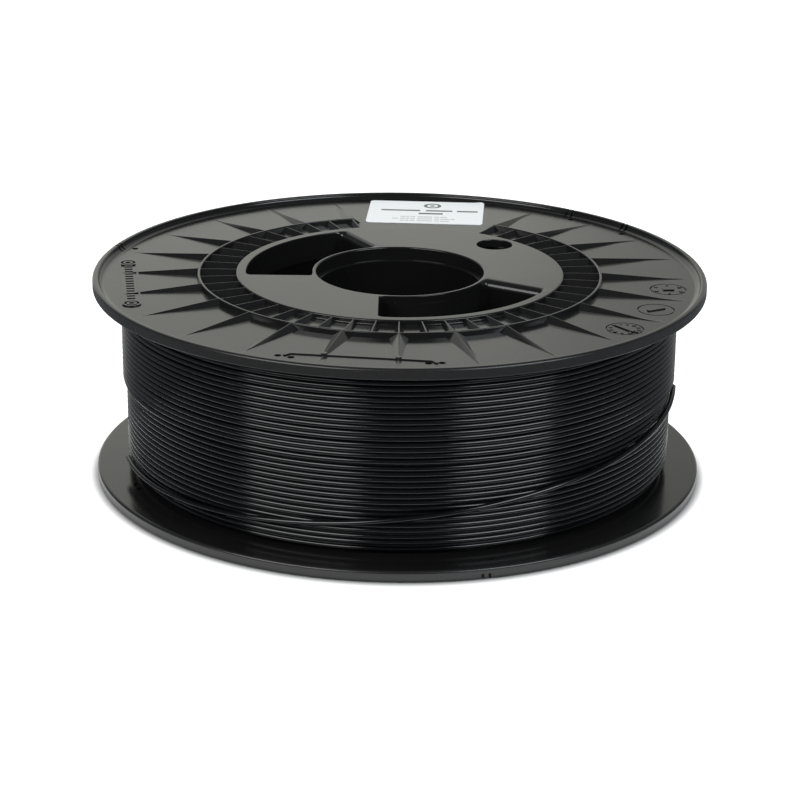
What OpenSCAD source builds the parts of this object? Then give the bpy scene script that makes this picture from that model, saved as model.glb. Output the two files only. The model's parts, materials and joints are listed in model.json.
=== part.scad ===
// Full 1 kg filament spool: two ribbed flanges on a two-part drum, wound with 1.75 mm filament.
// The spool's axis is Z. It stands on the lower flange at z = 0.

/* [Overall] */
// Outside diameter of both flanges
flange_d = 200; // [198:0.5:204]
// Overall width, from the outer face of one flange to the other
spool_w = 67.6; // [64:0.2:72]

/* [Bore and drum] */
// Diameter of the opening in each flange's collar
collar_d = 54.8; // [54.4:0.1:55.4]
// Bore of the tube between the collars
tube_bore_d = 53.2; // [51.4:0.1:53.4]
// Wall of the bore tube
tube_wall = 1.05; // [0.9:0.05:1.1]
// Depth of the ledge where the bore tube starts
ledge_depth = 4.5; // [3:0.5:6]
// Outside diameter of the drum that the filament is wound on
drum_d = 107; // [106:0.5:108]
// Wall of the drum
drum_wall = 2.2; // [2:0.1:2.4]

/* [Flange] */
// Thickness of the hub plate between the collar and the drum
plate_t = 2.6; // [2:0.1:3]
// Depth of the web below the outer face, at the ring wall
web_depth_inner = 1.8; // [1.6:0.1:2]
// Depth of the web below the outer face, at the rim
web_depth_outer = 2.0; // [1.8:0.1:2.4]
// Depth of the winding side at the drum
back_depth_inner = 4.4; // [4.2:0.1:4.8]
// Depth of the winding side at the rim
back_depth_outer = 3.8; // [3.6:0.1:4.2]
// Width of the rim's outer face ring
rim_w = 2.0; // [1.8:0.1:2.4]
// Radius where the web meets the rim's inner side
rim_fillet = 2.2; // [1.8:0.1:2.4]
// Rounding of the rim's outer edge
rim_edge = 0.9; // [0.6:0.1:1]

/* [Ribs] */
// Angle between the long tapered ribs
rib_step = 15; // [15]
// Angle between the short gussets in the pocket ring
gusset_step = 7.5; // [7.5]
// Radius at which a long rib runs out into the web
rib_tip_r = 91.5; // [88:0.5:93]
// Width of a long rib where it leaves the ring wall
rib_base_w = 6; // [4:0.5:7]
// Width of a gusset where it meets the ring wall
gusset_base_w = 4.8; // [4:0.2:6]
// Width of a gusset where it leaves the hub plate
gusset_tip_w = 1.2; // [0.8:0.1:2]
// Width of the flat along the top of ribs and gussets
ridge_w = 0.3; // [0.2:0.1:0.5]
// Outside diameter of the ring wall
ring_d = 132; // [131:0.2:134]
// Thickness of the ring wall at its top
ring_wall_t = 0.9; // [0.8:0.1:1.2]
// Where the ribs start, past the clear sector for the label
label_sector_end = 105; // [105]
// Sweep of the ribbed part of the flange
ribbed_sweep = 315; // [315]

/* [Windows and drive hole] */
// Outside radius of the two windows
window_r = 50.3; // [49.5:0.1:50.5]
// Start angles of the windows
window_starts = [120, 270];
// Sweep of a window between its two radial edges
window_sweep = 60; // [60]
// How far a window's first edge lies outside its radial line
window_first_edge = [5.2, 6.5];
// How far a window's last edge lies outside its radial line
window_last_edge = [6.5, 5.2];
// Diameter of the drive hole
drive_hole_d = 12; // [10:0.5:13]
// Distance of the drive hole from the axis
drive_hole_r = 45.2; // [45.1:0.1:45.5]
// Angle of the drive hole
drive_hole_a = 45; // [44:0.5:46]
// Thickness of the radial walls beside the windows
side_wall_t = 2; // [1.6:0.1:2.4]

/* [Marks and filament holes] */
// Height of raised marks on the web
mark_h = 0.35; // [0.2:0.05:0.5]
// Distance of the marking dials from the axis
dial_r = 87.5; // [86:0.5:88.5]
// Diameter of a marking dial
dial_d = 12; // [10:0.5:12.5]
// Length of the framed plaque
plaque_l = 51; // [44:1:52]
// Width of the framed plaque
plaque_w = 6; // [5:0.5:7]
// Diameter of the holes that take the filament's end
end_hole_d = 2.2; // [2:0.1:2.6]

/* [Filament] */
// Diameter of the filament
filament_d = 1.75; // [1.75]
// Outside radius of the full layers
winding_r = 89.7; // [86.2:0.5:89.7]
// Outside radius of the part layer on top of them
outer_layer_r = 90.9; // [90.7:0.1:91.1]
// Height at which the part layer ends
outer_layer_z = 32.8; // [32.8]

/* [Label] */
// Width of the label
label_w = 41; // [30:1:44]
// Height of the label, measured towards the rim
label_h = 30; // [24:1:30]
// Thickness of the label
label_t = 0.15; // [0.1:0.05:0.2]
// Corner radius of the label
label_corner_r = 1.5; // [1:0.25:3]

/* [Hidden] */
$fn = 180;

eps = 0.05;
play = 0.1;
flange_r = flange_d / 2;
collar_r = collar_d / 2;
collar_wall = 1.3;
collar_depth = 9;
tube_in_r = tube_bore_d / 2;
tube_out_r = tube_in_r + tube_wall;
drum_r = drum_d / 2;
drum_in_r = drum_r - drum_wall;
spigot_t = 0.9;
spigot_depth = 9;
ring_r = ring_d / 2;
ring_foot_out = ring_r + 0.3;
ring_foot_in = ring_r - ring_wall_t - 0.2;
rim_in_r = flange_r - rim_w;
rim_round = 0.5;
back_edge_w = 1;
back_edge_h = 0.9;
mid_z = spool_w / 2;
winding_gap = 0.1;
layer_step = 0.4;

// Points of a quarter round from angle a0 to a1 about [cx, cz]
function arc(cx, cz, rx, rz, a0, a1, steps = 6) =
    [for (i = [0:steps]) let (a = a0 + (a1 - a0) * i / steps) [cx + rx * cos(a), cz + rz * sin(a)]];

// Height of the web's outer surface, from the flange's outer face
function web_z(r) =
    -web_depth_inner + (web_depth_inner - web_depth_outer) * (r - ring_r) / (rim_in_r - ring_r);

// Height of the winding side, from the flange's outer face
function back_z(r) =
    -back_depth_inner + (back_depth_inner - back_depth_outer)
    * (r - drum_r) / (flange_r - back_edge_w - drum_r);

// Half outline of the flange in the plane of the axis; z = 0 is its outer face
module flange_outline() {
    foot_r = rim_in_r - rim_fillet;
    polygon(concat(
        [[collar_r, 0]],
        arc(drum_r - rim_round, -rim_round, rim_round, rim_round, 90, 0, 4),
        [[drum_r, web_z(ring_r)], [ring_r, web_z(ring_r)], [foot_r, web_z(foot_r)]],
        arc(foot_r, -rim_round, rim_fillet, -web_z(foot_r) - rim_round, -80, -8),
        arc(rim_in_r + rim_round, -rim_round, rim_round, rim_round, 180, 90, 4),
        arc(flange_r - rim_edge, -rim_edge, rim_edge, rim_edge, 90, 0),
        arc(flange_r - back_edge_w, back_edge_h - back_depth_outer, back_edge_w, back_edge_h, 0, -90),
        [[drum_r, -back_depth_inner], [drum_in_r, -back_depth_inner]],
        [[drum_in_r - play, -back_depth_inner], [drum_in_r - play, -spigot_depth],
         [window_r, -spigot_depth], [window_r, -plate_t],
         [collar_r + collar_wall, -plate_t], [collar_r + collar_wall, -collar_depth],
         [tube_out_r + eps, -collar_depth], [tube_out_r + eps, -ledge_depth],
         [collar_r, -ledge_depth]]));
}

// Thin wall round the pocket ring, open over the label's sector
module ring_wall() {
    rotate([0, 0, label_sector_end])
        rotate_extrude(angle = ribbed_sweep)
            polygon([[ring_foot_in, web_z(ring_r) - eps], [ring_r - ring_wall_t, 0],
                     [ring_r, 0], [ring_foot_out, web_z(ring_r) - eps]]);
}

// Long rib: its ridge falls from the ring wall to the web and it narrows to a point
module long_rib() {
    start_r = ring_r - ring_wall_t / 2;
    slope = -web_z(rib_tip_r) / (rib_tip_r - start_r);
    low_z = min(web_z(ring_r), web_z(rib_tip_r)) - eps;
    end_r = start_r - low_z / slope;
    foot = ridge_w / 2 + (rib_base_w - ridge_w) / 2 * low_z / web_z(ring_r);
    polyhedron(
        points = [[start_r, -foot, low_z], [start_r, foot, low_z],
                  [end_r, 0, low_z], [start_r, ridge_w / 2, 0], [start_r, -ridge_w / 2, 0]],
        faces = [[0, 2, 1], [0, 1, 3, 4], [1, 2, 3], [0, 4, 2], [3, 2, 4]]);
}

// Drop of the gussets' ridge below the outer face
gusset_drop = 0.2;

// Short gusset across the pocket ring, a tent that widens from the hub plate to the ring wall
module gusset() {
    start_r = drum_r - rim_round;
    end_r = ring_r - ring_wall_t / 2;
    low_z = web_z(ring_r) - eps;
    tip = gusset_tip_w / 2;
    foot = gusset_base_w / 2;
    top = ridge_w / 2;
    polyhedron(
        points = [[start_r, -tip, low_z], [start_r, tip, low_z],
                  [start_r, top, -gusset_drop], [start_r, -top, -gusset_drop],
                  [end_r, -foot, low_z], [end_r, foot, low_z],
                  [end_r, top, -gusset_drop], [end_r, -top, -gusset_drop]],
        faces = [[1, 2, 3, 0], [4, 7, 6, 5], [0, 4, 5, 1], [2, 6, 7, 3],
                 [5, 6, 2], [5, 2, 1], [0, 3, 7], [0, 7, 4]]);
}

// All ribs that stand on the web
module ribs() {
    ring_wall();
    for (a = [0:rib_step:ribbed_sweep]) {
        rotate([0, 0, label_sector_end + a]) long_rib();
    }
    for (a = [0:gusset_step:ribbed_sweep]) {
        rotate([0, 0, label_sector_end + a]) gusset();
    }
}

// Plan of one window: two straight edges, each set out from its radial line
module window_plan(start, first_edge, last_edge) {
    a0 = start;
    a1 = start + window_sweep;
    // Where the two edge lines cross, behind the axis
    cross_d = 1 / sin(window_sweep);
    apex = [-(last_edge * cos(a0) + first_edge * cos(a1)) * cross_d,
            -(last_edge * sin(a0) + first_edge * sin(a1)) * cross_d];
    reach = 3 * window_r;
    polygon([apex, apex + reach * [cos(a0), sin(a0)], apex + reach * [cos(a1), sin(a1)]]);
}

// The two windows as cutting bodies between the collar and the drum
module windows(depth) {
    for (i = [0:1]) {
        translate([0, 0, -depth]) {
            linear_extrude(depth + 1) {
                intersection() {
                    difference() {
                        circle(r = window_r);
                        circle(r = collar_r + collar_wall);
                    }
                    window_plan(window_starts[i], window_first_edge[i], window_last_edge[i]);
                }
            }
        }
    }
}

// Round holes through the web for the filament's end, as [distance from axis, angle]
end_holes = [[93.8, 50], [93.8, 35], [94, 162.3], [90.2, -113.4], [90.2, -110.7], [89, -84.3], [89, -81.7]];

// Narrow pairs of slits through the rim wall, as angles
slit_angles = [52, 37, 164.3];
slit_w = 0.9;
slit_spacing = 2.2;
slit_depth = 1.9;

module rim_slits() {
    for (a = slit_angles) {
        for (side = [-1, 1]) {
            rotate([0, 0, a])
                translate([rim_in_r - rim_fillet, side * slit_spacing / 2 - slit_w / 2, -slit_depth])
                    cube([2 * rim_fillet + rim_w, slit_w, slit_depth + 1]);
        }
    }
}

// Marking dials: two ring grooves and a raised pointer bar each
dial_angles = [-7.5, -22.5, -37.5];
groove_w = 0.5;
pointer_l = 5;
pointer_w = 1.2;

module dial_grooves() {
    z = web_z(dial_r);
    for (a = dial_angles) {
        rotate([0, 0, a])
            translate([dial_r, 0, z - mark_h])
                for (d = [dial_d, dial_d * 0.55]) {
                    difference() {
                        cylinder(h = 1, d = d, $fn = 72);
                        translate([0, 0, -eps]) cylinder(h = 2, d = d - 2 * groove_w, $fn = 72);
                    }
                }
    }
}

module dial_pointers() {
    z = web_z(dial_r);
    for (a = dial_angles) {
        rotate([0, 0, a])
            translate([dial_r, 0, z - mark_h])
                rotate([0, 0, 60])
                    translate([-pointer_l / 2, -pointer_w / 2, 0])
                        cube([pointer_l, pointer_w, 2 * mark_h]);
    }
}

// Framed plaque with a ring at each end, blank inside
plaque_a = 187.5;
plaque_r = 87.9;
frame_t = 0.6;

module plaque() {
    z = web_z(plaque_r);
    rotate([0, 0, plaque_a])
        translate([plaque_r, 0, z - mark_h]) {
            linear_extrude(2 * mark_h) {
                difference() {
                    square([plaque_w, plaque_l - plaque_w], center = true);
                    square([plaque_w - 2 * frame_t, plaque_l], center = true);
                }
            }
            for (side = [-1, 1]) {
                translate([0, side * (plaque_l - plaque_w) / 2, 0])
                    difference() {
                        cylinder(h = 2 * mark_h, d = plaque_w, $fn = 60);
                        translate([0, 0, -eps])
                            cylinder(h = 3 * mark_h, d = plaque_w - 2 * frame_t, $fn = 60);
                    }
            }
        }
}

// Straight rib between two pairs of filament holes, with a hook at each end and a pin at each rib tip
chord_a = -97.5;
chord_r = 84.6;
chord_l = 44;
chord_w = 0.8;
chord_h = 0.35;
pin_d = 1.8;
pin_h = 0.9;
hook_l = 2.6;
hook_turn = 42;

module chord_rib() {
    z = web_z(chord_r);
    rotate([0, 0, chord_a])
        translate([chord_r, 0, z - mark_h]) {
            translate([-chord_w / 2, -chord_l / 2, 0]) cube([chord_w, chord_l, mark_h + chord_h]);
            for (side = [-1, 1]) {
                translate([0, side * chord_r * tan(gusset_step), 0])
                    cylinder(h = mark_h + pin_h, d = pin_d, $fn = 36);
                translate([0, side * (chord_l / 2 - chord_w), 0])
                    rotate([0, 0, side * hook_turn])
                        translate([0, -chord_w / 2, 0])
                            cube([hook_l, chord_w, mark_h + chord_h]);
            }
        }
}

// One flange moulding, outer face at z = 0 and winding side below it
module flange() {
    difference() {
        union() {
            rotate_extrude() flange_outline();
            ribs();
            plaque();
            dial_pointers();
            chord_rib();
        }
        windows(plate_t + eps);
        rotate([0, 0, drive_hole_a])
            translate([drive_hole_r, 0, -plate_t - 1]) cylinder(h = plate_t + 2, d = drive_hole_d, $fn = 96);
        for (h = end_holes) {
            rotate([0, 0, h[1]])
                translate([h[0], 0, -back_depth_inner - 1])
                    cylinder(h = back_depth_inner + 2, d = end_hole_d, $fn = 36);
        }
        rim_slits();
        dial_grooves();
    }
}

module upper_flange() {
    color([0.10, 0.10, 0.11]) translate([0, 0, spool_w]) flange();
}

// The same moulding turned over about the line through the drive hole, so the windows meet again
module lower_flange() {
    color([0.09, 0.09, 0.10]) rotate([0, 0, 2 * drive_hole_a]) rotate([180, 0, 0]) flange();
}

// Plan of the radial walls that stand under the hub plate, beside the window edges
module side_wall_plan(i) {
    difference() {
        window_plan(window_starts[i], window_first_edge[i] + side_wall_t, window_last_edge[i] + side_wall_t);
        window_plan(window_starts[i], window_first_edge[i], window_last_edge[i]);
    }
}

// Radial walls between two radii and two heights
module side_walls(r0, r1, z0, z1) {
    for (i = [0:1]) {
        translate([0, 0, z0]) {
            linear_extrude(z1 - z0) {
                intersection() {
                    side_wall_plan(i);
                    difference() {
                        circle(r = r1);
                        circle(r = r0);
                    }
                }
            }
        }
    }
}

// Half of the drum and its radial walls, from the parting plane up to the flange
lap_h = 3;

module core_half() {
    seat = mid_z - back_depth_inner;
    step_z = mid_z - max(collar_depth, spigot_depth) - play;
    rotate_extrude() {
        polygon([[drum_in_r, 0], [drum_r, 0], [drum_r, seat], [drum_in_r, seat]]);
    }
    side_walls(tube_out_r + play, drum_in_r + eps, 0, step_z);
    side_walls(collar_r + collar_wall + play, window_r - play, step_z - eps, mid_z - plate_t);
}

// Ring of the lap joint, on the inner half of the drum's wall
module lap_ring(gap) {
    translate([0, 0, -lap_h - gap]) {
        difference() {
            cylinder(h = lap_h + gap + eps, r = drum_in_r + drum_wall / 2 + gap);
            translate([0, 0, -eps]) cylinder(h = lap_h + gap + 3 * eps, r = drum_in_r - gap);
        }
    }
}

module upper_core() {
    color([0.13, 0.13, 0.14])
        translate([0, 0, mid_z]) {
            core_half();
            lap_ring(0);
        }
}

module lower_core() {
    color([0.12, 0.12, 0.13])
        difference() {
            translate([0, 0, mid_z]) mirror([0, 0, 1]) core_half();
            translate([0, 0, mid_z]) lap_ring(eps);
        }
}

module bore_tube() {
    color([0.14, 0.14, 0.15])
        translate([0, 0, ledge_depth])
            difference() {
                cylinder(h = spool_w - 2 * ledge_depth, r = tube_out_r);
                translate([0, 0, -1]) cylinder(h = spool_w - 2 * ledge_depth + 2, r = tube_in_r);
            }
}

// Inner layers of the winding; the part layer stands on its upper, narrower length.
// The last layer stops short of the lower flange.
last_layer_z = 6.3;

module wound_filament() {
    start_r = drum_r + winding_gap;
    full_r = winding_r - filament_d;
    color([0.04, 0.04, 0.05])
        rotate_extrude()
            polygon([[start_r, -back_z(start_r) + winding_gap],
                     [full_r, -back_z(full_r) + winding_gap],
                     [full_r, last_layer_z],
                     [winding_r, last_layer_z],
                     [winding_r, outer_layer_z],
                     [winding_r - layer_step, outer_layer_z],
                     [winding_r - layer_step, spool_w + back_z(winding_r) - winding_gap],
                     [start_r, spool_w + back_z(start_r) - winding_gap]]);
}

module outer_layer() {
    low = outer_layer_z + winding_gap;
    high = spool_w + back_z(outer_layer_r) - winding_gap - filament_d / 2;
    color([0.05, 0.05, 0.06])
        rotate_extrude()
            polygon([[winding_r - layer_step + eps, low], [outer_layer_r, low],
                     [outer_layer_r, high], [winding_r - layer_step + eps, high]]);
}

// Route of the crossing turn: angle, height and distance from the axis along its length
turn_a0 = -166;
turn_a1 = -6;
turn_z0 = 9.4;
turn_z1 = 31.8;
turn_steps = 68;
turn_ease = 0.45;
turn_r = winding_r + filament_d / 2 + eps;

// The height runs level at first and then climbs evenly
function turn_z(t) = turn_z0 + (turn_z1 - turn_z0) * (t < turn_ease
    ? t * t / (turn_ease * (2 - turn_ease))
    : (2 * t - turn_ease) / (2 - turn_ease));

function turn_point(t, side) =
    let (a = turn_a0 + (turn_a1 - turn_a0) * t,
         r = turn_r + filament_d / 2 * cos(side),
         z = turn_z(t) + filament_d / 2 * sin(side))
    [r * cos(a), r * sin(a), z];

module crossing_turn() {
    sides = 8;
    rings = turn_steps + 1;
    points = [for (i = [0:turn_steps]) for (s = [0:sides - 1]) turn_point(i / turn_steps, s * 360 / sides)];
    skin = [for (i = [0:turn_steps - 1]) for (s = [0:sides - 1])
        let (n = (s + 1) % sides)
        [i * sides + s, (i + 1) * sides + s, (i + 1) * sides + n, i * sides + n]];
    caps = [[for (s = [0:sides - 1]) s], [for (s = [sides - 1:-1:0]) (rings - 1) * sides + s]];
    color([0.06, 0.06, 0.07]) polyhedron(points = points, faces = concat(skin, caps));
}

// The label lies on the web and runs up the fillet at the rim
label_a = 83.5;
label_turn = -3;
label_r = 78.9;
label_lift = 0.02;

module label_plan() {
    w = label_w / 2 - label_corner_r;
    h = label_h / 2 - label_corner_r;
    square([label_w, 2 * h], center = true);
    square([2 * w, label_h], center = true);
    for (x = [-w, w]) {
        for (y = [-h, h]) {
            translate([x, y]) circle(r = label_corner_r, $fn = 48);
        }
    }
}

// Thin skin that follows the web and the fillet, at a height above them
module label_skin() {
    foot_r = rim_in_r - rim_fillet;
    lift = label_lift;
    top = label_lift + label_t;
    fillet_h = -web_z(foot_r) - rim_round;
    under = arc(foot_r, -rim_round, rim_fillet - lift, fillet_h - lift, -90, -25);
    over = arc(foot_r, -rim_round, rim_fillet - top, fillet_h - top, -25, -90);
    rotate_extrude()
        polygon(concat([[drum_r + 1, web_z(ring_r) + lift], [ring_r, web_z(ring_r) + lift]], under, over,
                       [[ring_r, web_z(ring_r) + top], [drum_r + 1, web_z(ring_r) + top]]));
}

module product_label() {
    color([0.93, 0.94, 0.95])
        translate([0, 0, spool_w])
            intersection() {
                label_skin();
                translate([label_r * cos(label_a), label_r * sin(label_a), -back_depth_inner])
                    rotate([0, 0, label_turn])
                        linear_extrude(back_depth_inner) label_plan();
            }
}

upper_flange();
lower_flange();
upper_core();
lower_core();
bore_tube();
wound_filament();
outer_layer();
crossing_turn();
product_label();
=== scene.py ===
"""Filament spool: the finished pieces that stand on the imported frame.

Two ribbed flanges, a two-part drum, a bore tube, the wound strand and a paper label.
The spool's axis is Z and it stands on its lower flange at z = 0. Lengths are in metres.
"""

import json
import math

import bmesh
import bpy
from mathutils import Matrix, Vector


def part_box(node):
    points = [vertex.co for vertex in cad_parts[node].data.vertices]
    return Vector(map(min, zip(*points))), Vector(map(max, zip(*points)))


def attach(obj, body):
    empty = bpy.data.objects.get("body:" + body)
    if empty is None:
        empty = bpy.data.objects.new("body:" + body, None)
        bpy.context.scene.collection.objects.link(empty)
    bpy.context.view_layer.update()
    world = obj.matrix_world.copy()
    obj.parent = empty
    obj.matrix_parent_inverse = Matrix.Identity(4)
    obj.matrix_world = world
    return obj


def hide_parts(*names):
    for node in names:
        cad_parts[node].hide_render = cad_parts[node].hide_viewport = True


bl_info = {
    "name": "Filament Spool",
    "version": (1, 0, 0),
    "blender": (4, 5, 0),
    "location": "3D View > Sidebar > Spool",
    "description": "Builds a full filament spool on its frame: flanges, drum, winding and label",
    "category": "Add Mesh",
}

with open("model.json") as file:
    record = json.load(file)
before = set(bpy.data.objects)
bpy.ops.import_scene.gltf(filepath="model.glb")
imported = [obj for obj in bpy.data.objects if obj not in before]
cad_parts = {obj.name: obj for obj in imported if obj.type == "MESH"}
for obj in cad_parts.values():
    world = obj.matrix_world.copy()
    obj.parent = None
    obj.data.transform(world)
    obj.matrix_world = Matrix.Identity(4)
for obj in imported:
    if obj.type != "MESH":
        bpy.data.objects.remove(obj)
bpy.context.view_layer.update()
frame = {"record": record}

MM = 0.001
MOUNTS = {mount["name"]: mount for mount in frame["record"]["mounts"]}
RIM_LOW, RIM_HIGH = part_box("upper_flange")
WIDTH = RIM_HIGH.z
MID_Z = WIDTH / 2
FLANGE_R = min(RIM_HIGH.x, RIM_HIGH.y, -RIM_LOW.x, -RIM_LOW.y)
DRUM_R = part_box("upper_core")[1].x
TUBE_LOW, TUBE_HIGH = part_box("bore_tube")
TUBE_R = TUBE_HIGH.x
TUBE_BORE_R = MOUNTS["bore"]["dims"]["r_mm"] * MM
COLLAR_R = MOUNTS["collar_top"]["dims"]["r_mm"] * MM
LEDGE_DEPTH = MOUNTS["collar_top"]["dims"]["length_mm"] * MM
DRIVE_HOLE_R = MOUNTS["drive_hole_top"]["dims"]["r_mm"] * MM
DRIVE_HOLE_AT = Vector(MOUNTS["drive_hole_top"]["pos_m"][:2])
INNER_LOW, INNER_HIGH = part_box("wound_filament")
OUTER_LOW, OUTER_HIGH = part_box("outer_layer")
CROSSING_LOW, CROSSING_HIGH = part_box("crossing_turn")

TURN_STEPS = 288
SMOOTH_ANGLE = math.radians(32)


def length(name, text, default):
    """A length property in metres."""
    return bpy.props.FloatProperty(name=name, description=text, default=default, min=0.0,
                                   unit="LENGTH", subtype="DISTANCE", precision=5)


def angle(name, text, degrees):
    """An angle property, with its default in degrees."""
    return bpy.props.FloatProperty(name=name, description=text, default=math.radians(degrees),
                                   unit="ROTATION", subtype="ANGLE")


def colour(name, text, default):
    """A colour property."""
    return bpy.props.FloatVectorProperty(name=name, description=text, default=default, size=3,
                                         min=0.0, max=1.0, subtype="COLOR")


def number(name, text, default, low=0.0, high=100.0):
    """A plain number property."""
    return bpy.props.FloatProperty(name=name, description=text, default=default, min=low, max=high)


# ---------------------------------------------------------------------------------------------
# Settings


class SpoolFlangeSettings(bpy.types.PropertyGroup):
    """Sizes and colours of the two flange mouldings"""

    web_depth_inner: length("Web depth at ring", "Depth of the web at the ring wall", 1.8 * MM)
    web_depth_outer: length("Web depth at rim", "Depth of the web at the rim", 2.0 * MM)
    back_depth_inner: length("Back depth at drum", "Depth of the winding side at the drum", 4.4 * MM)
    back_depth_outer: length("Back depth at rim", "Depth of the winding side at the rim", 3.8 * MM)
    plate: length("Hub plate", "Thickness of the plate between collar and drum", 2.6 * MM)
    collar_wall: length("Collar wall", "Wall of the collar round the bore", 1.3 * MM)
    collar_depth: length("Collar depth", "How deep the collar reaches below the outer face", 9.0 * MM)
    rim_width: length("Rim width", "Width of the rim's outer face ring", 2.0 * MM)
    rim_fillet: length("Rim fillet", "Radius between the web and the rim", 2.2 * MM)
    edge: length("Edge rounding", "Rounding of the rim's inner edge and the collar's edge", 0.5 * MM)
    rim_edge: length("Rim edge", "Rounding of the rim's outer edge", 0.9 * MM)
    ring_radius: length("Ring radius", "Outer radius of the ring wall", 66.0 * MM)
    ring_wall: length("Ring wall", "Thickness of the ring wall at its top", 0.9 * MM)
    rib_tip: length("Rib tip radius", "Where a long rib runs out into the web", 91.5 * MM)
    rib_width: length("Rib width", "Width of a long rib at the ring wall", 6 * MM)
    gusset_width: length("Gusset width", "Width of a gusset where it meets the ring wall", 4.8 * MM)
    gusset_tip: length("Gusset tip", "Width of a gusset where it leaves the hub plate", 1.2 * MM)
    ridge: length("Ridge width", "Width of the flat along ribs and gussets", 0.3 * MM)
    rib_step: angle("Rib step", "Angle between the long ribs", 15)
    gusset_step: angle("Gusset step", "Angle between the gussets", 7.5)
    ribs_start: angle("First rib", "Angle of the first rib, past the label's clear sector", 105)
    ribs_sweep: angle("Ribbed sweep", "Sweep of the ribbed part of the flange", 315)
    window_radius: length("Window radius", "Outer radius of the two windows", 50.3 * MM)
    window_lip: length("Window lip", "Radius of the rolled lip on a window's far edge", 2.6 * MM)
    window_edge: length("Window edge", "Rounding of the other window edges", 0.3 * MM)
    mark_height: length("Mark height", "Height of the raised marks and depth of the grooves", 0.35 * MM)
    plastic: colour("Plastic", "Colour of the flange plastic", (0.009, 0.009, 0.0093))
    sheen: number("Roughness", "Surface roughness of the flange plastic", 0.17, 0, 1)


class SpoolDrumSettings(bpy.types.PropertyGroup):
    """Sizes and colours of the drum halves and the bore tube"""

    drum_wall: length("Drum wall", "Wall of the drum", 2.2 * MM)
    side_wall: length("Side wall", "Thickness of the walls beside the windows", 2.0 * MM)
    lap: length("Lap", "Height of the lap joint between the halves", 3.0 * MM)
    plastic: colour("Plastic", "Colour of the drum plastic", (0.006, 0.006, 0.0063))
    sheen: number("Roughness", "Surface roughness of the drum plastic", 0.22, 0, 1)


class SpoolStrandSettings(bpy.types.PropertyGroup):
    """Sizes and colours of the wound strand"""

    strand: length("Strand diameter", "Diameter of the filament", 1.75 * MM)
    inner_turns: number("Inner turns", "Turns in the visible full layer", 30, 1, 60)
    outer_turns: number("Outer turns", "Turns in the part layer on top", 16, 1, 60)
    wander: length("Wander", "How far a turn strays along the axis", 0.2 * MM)
    last_layer: length("Last layer", "Height at which the last full layer starts", 6.3 * MM)
    filament: colour("Filament", "Colour of the filament", (0.0022, 0.0025, 0.0032))
    sheen: number("Roughness", "Surface roughness of the filament", 0.15, 0, 1)


class SpoolLabelSettings(bpy.types.PropertyGroup):
    """Sizes and colours of the paper label"""

    width: length("Width", "Width of the label", 41 * MM)
    height: length("Height", "Height of the label, towards the rim", 30 * MM)
    thickness: length("Thickness", "Thickness of the paper and its glue", 0.15 * MM)
    corner: length("Corner", "Corner radius of the label", 1.5 * MM)
    reach: length("Distance", "Distance of the label from the axis", 78.9 * MM)
    bearing: angle("Bearing", "Angle of the label round the axis", 83.5)
    turn: angle("Turn", "How far the label is turned on the web", -3)
    paper: colour("Paper", "Colour of the coated paper", (0.85, 0.88, 0.90))
    ink: colour("Ink", "Colour of the printed marks", (0.035, 0.04, 0.045))


class SpoolStudioSettings(bpy.types.PropertyGroup):
    """Floor, lights and camera"""

    floor: colour("Floor", "Colour of the floor", (0.5, 0.5, 0.5))
    floor_glow: number("Floor glow", "Light that the floor gives off itself", 1.0)
    # The floor's glow is dimmed over this width round the lower flange: a painted contact shadow.
    contact: length("Contact shade", "Width of the shade round the lower flange", 4 * MM)
    backdrop: number("Backdrop", "Brightness of the white backdrop behind the spool", 0.88)
    backdrop_tint: colour("Backdrop tint", "Tint of the backdrop", (0.985, 1.0, 0.93))
    dark_side: number("Dark side", "Brightness of the rest of the room", 0.05)
    side: number("Side", "Brightness of the room beside the backdrop", 0.12)
    below: number("Below", "Brightness of the floor in front, in reflections", 0.06)
    softboxes: number("Softboxes", "Brightness of the two softboxes", 4.7)
    top_light: number("Top light", "Brightness of the light overhead", 3.3)
    elevation: angle("Elevation", "Height of the camera above the horizon", 19.577)
    roll: angle("Roll", "Turn of the camera about its own axis", 0.67)
    distance: length("Distance", "Distance of the camera from the point it looks at", 838.7 * MM)
    aim_x: bpy.props.FloatProperty(name="Aim x", description="Sideways place of the camera's aim",
                                   default=0.546 * MM, unit="LENGTH", subtype="DISTANCE", precision=5)
    aim_z: length("Aim height", "Height of the camera's aim", 22.61 * MM)
    lens: bpy.props.FloatProperty(name="Lens", description="Focal length on a 36 mm sensor",
                                  default=113.31, min=1, unit="CAMERA")


# ---------------------------------------------------------------------------------------------
# Node trees


class Wire:
    """An output socket of a node tree. Arithmetic on wires adds Math nodes to the tree."""

    def __init__(self, graph, socket):
        self.graph = graph
        self.socket = socket

    def math(self, operation, *operands):
        return self.graph.add("ShaderNodeMath", {"operation": operation}, dict(enumerate(operands)))

    def __add__(self, other):
        return self.math("ADD", self, other)

    def __radd__(self, other):
        return self.math("ADD", other, self)

    def __sub__(self, other):
        return self.math("SUBTRACT", self, other)

    def __rsub__(self, other):
        return self.math("SUBTRACT", other, self)

    def __mul__(self, other):
        return self.math("MULTIPLY", self, other)

    def __rmul__(self, other):
        return self.math("MULTIPLY", other, self)

    def __truediv__(self, other):
        return self.math("DIVIDE", self, other)

    def __rtruediv__(self, other):
        return self.math("DIVIDE", other, self)

    def __gt__(self, other):
        return self.math("GREATER_THAN", self, other)

    def __lt__(self, other):
        return self.math("LESS_THAN", self, other)


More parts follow.
